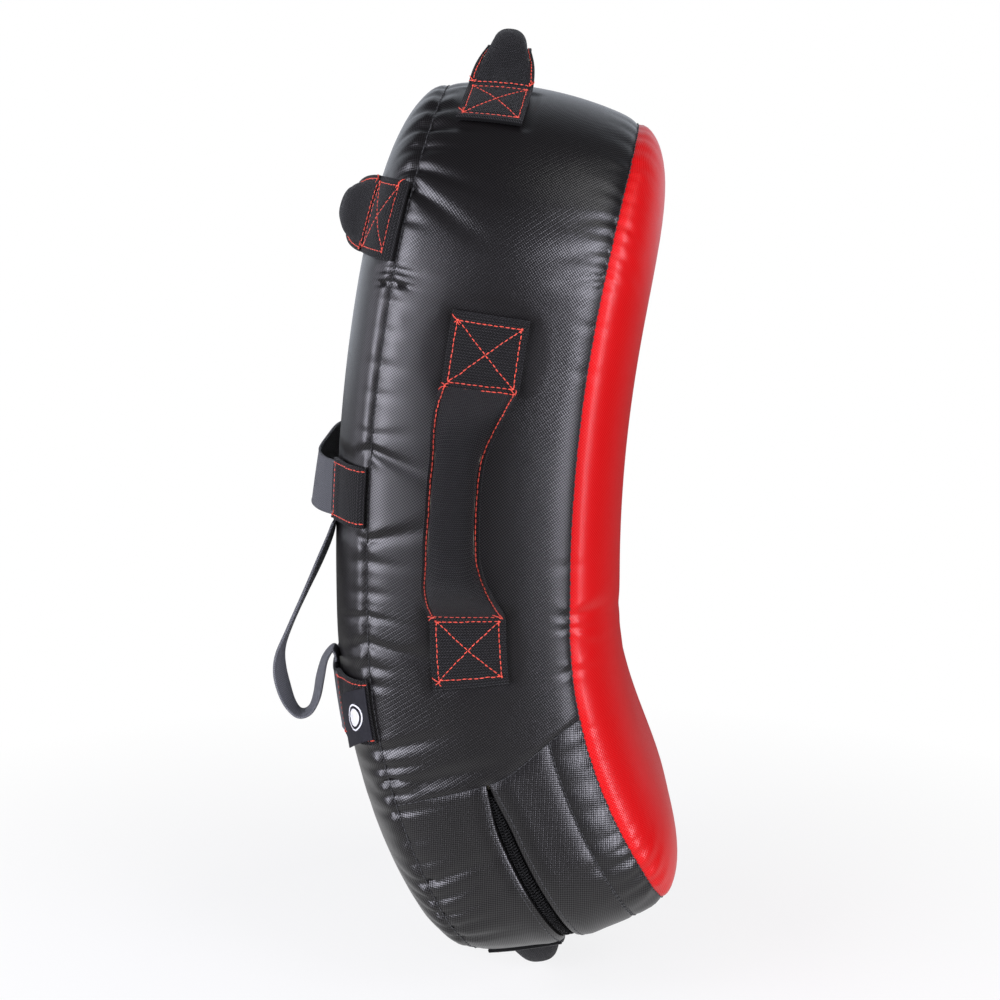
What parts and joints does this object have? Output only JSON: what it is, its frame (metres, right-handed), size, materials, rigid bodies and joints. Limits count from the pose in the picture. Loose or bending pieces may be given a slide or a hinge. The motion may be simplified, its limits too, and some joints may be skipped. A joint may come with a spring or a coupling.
{
  "type": "curved kick shield",
  "caption": "Curved padded kick shield with a red strike face, webbing hand grips on every side, forearm straps, a carry strap and a zipped end.",
  "frame": {"origin": "on the back panel's crown, under the middle of the forearm strap, where the holder's forearm lies", "axes": "+X across the width, -Y towards the strike face, +Y towards the holder, +Z along the pad to its top end"},
  "size_m": [0.4441, 0.285, 0.6936],
  "materials": {
    "strike_vinyl": null,
    "black_vinyl": null,
    "foam": null,
    "webbing": null,
    "elastic": null,
    "grip_cloth": null,
    "label_cloth": null,
    "zip_plastic": null,
    "zip_metal": null
  },
  "bodies": {
    "pad": {"strike_panel": "strike_vinyl", "back_panel": "black_vinyl", "upper_gusset": "black_vinyl", "lower_gusset_rear": "black_vinyl", "lower_gusset_front": "black_vinyl", "lower_gusset_facing": "black_vinyl", "strike_foam": "foam", "core_foam": "foam", "back_foam": "foam", "zip_tape": "webbing", "zip_coil": "zip_plastic", "top_handle_ends": "webbing", "bottom_handle_ends": "webbing", "left_handle_ends": "webbing", "right_handle_ends": "webbing", "rear_handle_ends": "webbing", "forearm_strap_tabs": "webbing", "lower_strap_tabs": "webbing"},
    "top_grip": {"top_grip_strap": "webbing", "top_grip_core": "foam", "top_grip_sleeve": "grip_cloth"},
    "bottom_grip": {"bottom_grip_strap": "webbing", "bottom_grip_core": "foam", "bottom_grip_sleeve": "grip_cloth"},
    "left_grip": {"left_grip_strap": "webbing", "left_grip_core": "foam", "left_grip_sleeve": "grip_cloth"},
    "right_grip": {"right_grip_strap": "webbing", "right_grip_core": "foam", "right_grip_sleeve": "grip_cloth"},
    "rear_grip": {"rear_grip_strap": "webbing", "rear_grip_core": "foam", "rear_grip_sleeve": "grip_cloth"},
    "forearm_strap": {"forearm_strap_band": "elastic"},
    "lower_strap": {"lower_strap_band": "elastic"},
    "carry_loop": {"carry_strap": "elastic"},
    "label": {"woven_label": "label_cloth"},
    "zip_runner": {"zip_slider": "zip_metal"},
    "zip_tab": {"zip_pull": "zip_metal"}
  },
  "joints": [
    {"name": "top_grip_swing", "type": "hinge", "parent": "pad", "child": "top_grip", "pos_m": [0, -0.11593, 0.26705], "axis": [1, 0, 0], "range_deg": [-32, 32]},
    {"name": "bottom_grip_swing", "type": "hinge", "parent": "pad", "child": "bottom_grip", "pos_m": [0, -0.13717, -0.32978], "axis": [1, 0, 0], "range_deg": [-30, 30]},
    {"name": "left_grip_swing", "type": "hinge", "parent": "pad", "child": "left_grip", "pos_m": [-0.1695, -0.09852, -0.00336], "axis": [0, -0.0569, 0.9984], "range_deg": [-25, 55]},
    {"name": "right_grip_swing", "type": "hinge", "parent": "pad", "child": "right_grip", "pos_m": [0.1695, -0.09852, -0.00336], "axis": [0, -0.0569, 0.9984], "range_deg": [-42, 42]},
    {"name": "rear_grip_swing", "type": "hinge", "parent": "pad", "child": "rear_grip", "pos_m": [0, -0.02955, 0.18339], "axis": [1, 0, 0], "range_deg": [-14, 14]},
    {"name": "forearm_strap_swing", "type": "hinge", "parent": "pad", "child": "forearm_strap", "pos_m": [0, -0.00542, -0.00035], "axis": [1, 0, 0], "range_deg": [-30, 30]},
    {"name": "lower_strap_lift", "type": "slide", "parent": "pad", "child": "lower_strap", "axis": [0, 0.991, -0.1336], "range_m": [0, 0.03]},
    {"name": "carry_strap_swing", "type": "hinge", "parent": "pad", "child": "carry_loop", "pos_m": [-0.112, -0.00095, -0.07325], "axis": [0, -0.001, -1], "range_deg": [-12, 4]},
    {"name": "label_flip", "type": "hinge", "parent": "pad", "child": "label", "pos_m": [-0.16227, -0.02552, -0.14896], "axis": [0, 0.136, 0.9907], "range_deg": [0, 110]},
    {"name": "zip_slide", "type": "slide", "parent": "pad", "child": "zip_runner", "axis": [-1, 0, 0], "range_m": [0, 0.184]},
    {"name": "zip_pull_flip", "type": "hinge", "parent": "zip_runner", "child": "zip_tab", "pos_m": [0.092, -0.16997, -0.32675], "axis": [0, 0.9629, -0.2699], "range_deg": [0, 170]}
  ]
}
